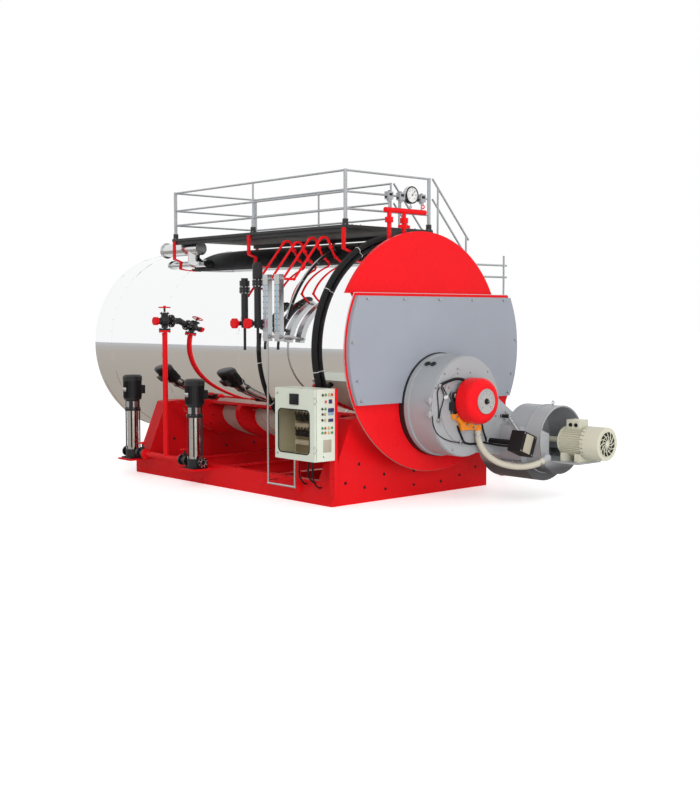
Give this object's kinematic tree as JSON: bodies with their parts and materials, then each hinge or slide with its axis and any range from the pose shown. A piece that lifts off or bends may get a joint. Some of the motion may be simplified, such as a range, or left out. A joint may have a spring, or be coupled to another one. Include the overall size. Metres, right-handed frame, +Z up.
{
  "type": "industrial steam boiler",
  "caption": "Horizontal fire-tube packaged steam boiler on a skid with mirror cladding, forced-draught burner, feed pumps, control cabinet and railed roof platform with stair.",
  "frame": {"origin": "on the floor at the middle of the skid, on the underside of the middle cross member", "axes": "+X to the boiler's right seen from the burner end's front, +Y from the burner end to the rear along the shell, +Z up"},
  "size_m": [5.085, 9.76, 5.094],
  "materials": {
    "red_paint": "gloss red paint",
    "mirror_cladding": "mirror-polished stainless sheet",
    "grey_panel": "satin grey paint",
    "burner_grey": "silver-grey paint",
    "dial_grey": "light grey dial",
    "black_iron": "black painted castings",
    "black_motor": "satin black motor paint",
    "orange_paint": "orange paint",
    "hose_beige": "corrugated beige plastic",
    "motor_cream": "cream enamel",
    "black_plastic": "black plastic",
    "deck_black": "black painted steel",
    "galvanised": "galvanised tube and grating",
    "switch_grey": "grey die-cast housings",
    "stainless": "stainless steel",
    "cabinet_paint": "pale powder coat",
    "window_glass": "tinted clear pane",
    "gear_plate": "mounting plate and switchgear"
  },
  "bodies": {
    "boiler": {"side_beams": "red_paint", "cross_members": "red_paint", "front_saddle": "red_paint", "rear_saddle": "red_paint", "boiler_shell": "mirror_cladding", "rear_end_plate": "mirror_cladding", "rear_fittings": "red_paint", "front_tube_plate": "red_paint", "front_smokebox": "mirror_cladding", "smokebox_flange": "red_paint", "front_panel": "grey_panel", "burner_ring": "black_iron", "burner_casing": "burner_grey", "burner_face_plate": "burner_grey", "burner_head_body": "black_iron", "burner_head_cover": "red_paint", "burner_dial": "dial_grey", "gas_valve_arm": "orange_paint", "burner_hose": "hose_beige", "air_duct": "burner_grey", "fan_housing": "burner_grey", "motor_shelf": "burner_grey", "motor_body": "motor_cream", "motor_cowl": "motor_cream", "damper_actuator": "black_plastic", "platform_deck": "deck_black", "deck_beams": "deck_black", "deck_brackets": "red_paint", "side_railings": "galvanised", "end_railings": "galvanised", "post_shoes": "deck_black", "stair_stringers": "deck_black", "stair_treads": "deck_black", "stair_handrails": "galvanised", "landing_railings": "galvanised", "landing_legs": "red_paint", "steam_outlet": "mirror_cladding", "steam_header": "red_paint", "pressure_gauge": "black_plastic", "pressure_switches": "switch_grey", "feed_riser": "red_paint", "feed_valve": "black_iron", "level_chambers": "black_iron", "gauge_glasses": "stainless", "impulse_tubes": "red_paint", "drain_pipes": "stainless", "valve_wheels": "red_paint", "conduit_bundle": "black_plastic", "cabinet_box": "cabinet_paint", "cabinet_gear": "gear_plate", "cabinet_stand": "red_paint", "cabinet_cables": "black_plastic", "pump_brackets": "red_paint", "pump_bases": "black_iron", "pump_sleeves": "stainless", "pump_motors": "black_motor", "pump_valves": "black_iron"},
    "cabinet_door_leaf": {"cabinet_door": "cabinet_paint", "cabinet_window": "window_glass"}
  },
  "joints": [
    {"name": "cabinet_door_hinge", "type": "hinge", "parent": "boiler", "child": "cabinet_door_leaf", "pos_m": [-2.159, -2.841, 1.25], "axis": [0, 0, 1], "range_deg": [0, 110]}
  ]
}
